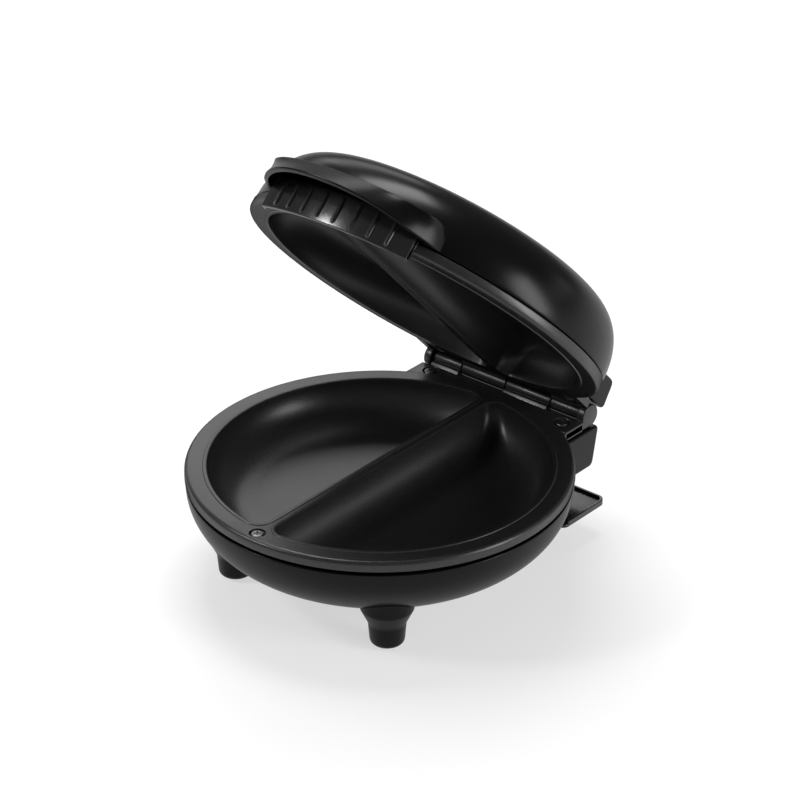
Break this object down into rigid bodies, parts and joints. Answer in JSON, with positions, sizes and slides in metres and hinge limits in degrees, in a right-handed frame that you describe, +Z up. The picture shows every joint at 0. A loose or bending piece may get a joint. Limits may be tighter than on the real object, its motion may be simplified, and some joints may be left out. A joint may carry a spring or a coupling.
{
  "type": "electric omelette maker",
  "caption": "Countertop omelette maker with a hinged domed lid, half-moon cooking wells in both plates, a hooded front grip and short legs.",
  "frame": {"origin": "on the worktop, vertically under the centre of the round cooking plates", "axes": "+X along the hinge to the object's right as seen from the front, +Y to the back, +Z up"},
  "size_m": [0.216, 0.2416, 0.2582],
  "materials": {
    "housing": "glossy moulded",
    "trim": "satin moulded",
    "rubber": "matte",
    "plate": "cast, dark satin non-stick coating",
    "plate_screw": "satin",
    "screw": "zinc plated",
    "strap": "satin",
    "pin": "ground",
    "heater": "annealed sheath",
    "reflector": "bright sheet",
    "ceramic": "unglazed ceramic or pale moulding",
    "phenolic": "phenolic moulding",
    "fuse": "plated case"
  },
  "bodies": {
    "base": {"base_housing": "housing", "bottom_cover": "housing", "legs": "housing", "leg_screws": "screw", "foot_pads": "rubber", "cord_wrap_bracket": "trim", "bracket_screws": "screw", "cord_bush": "rubber", "terminal_block": "ceramic", "lower_reflector": "reflector", "lower_reflector_screws": "screw", "lower_plate": "plate", "lower_plate_screws": "plate_screw", "lower_heater": "heater", "lower_heater_terminals": "ceramic", "lower_heater_straps": "strap", "lower_strap_screws": "screw", "thermostat": "phenolic", "thermal_fuse": "fuse", "hinge_pin": "pin"},
    "lid": {"lid_housing": "housing", "handle_grip": "trim", "grip_screws": "screw", "upper_plate": "plate", "upper_plate_screws": "plate_screw", "upper_heater": "heater", "upper_heater_terminals": "ceramic", "upper_heater_straps": "strap", "upper_strap_screws": "screw", "upper_reflector": "reflector", "upper_reflector_screws": "screw"}
  },
  "joints": [
    {"name": "lid_hinge", "type": "hinge", "parent": "base", "child": "lid", "pos_m": [0, 0.1149, 0.06755], "axis": [-1, 0, 0], "range_deg": [-46.5, 33.5]}
  ]
}
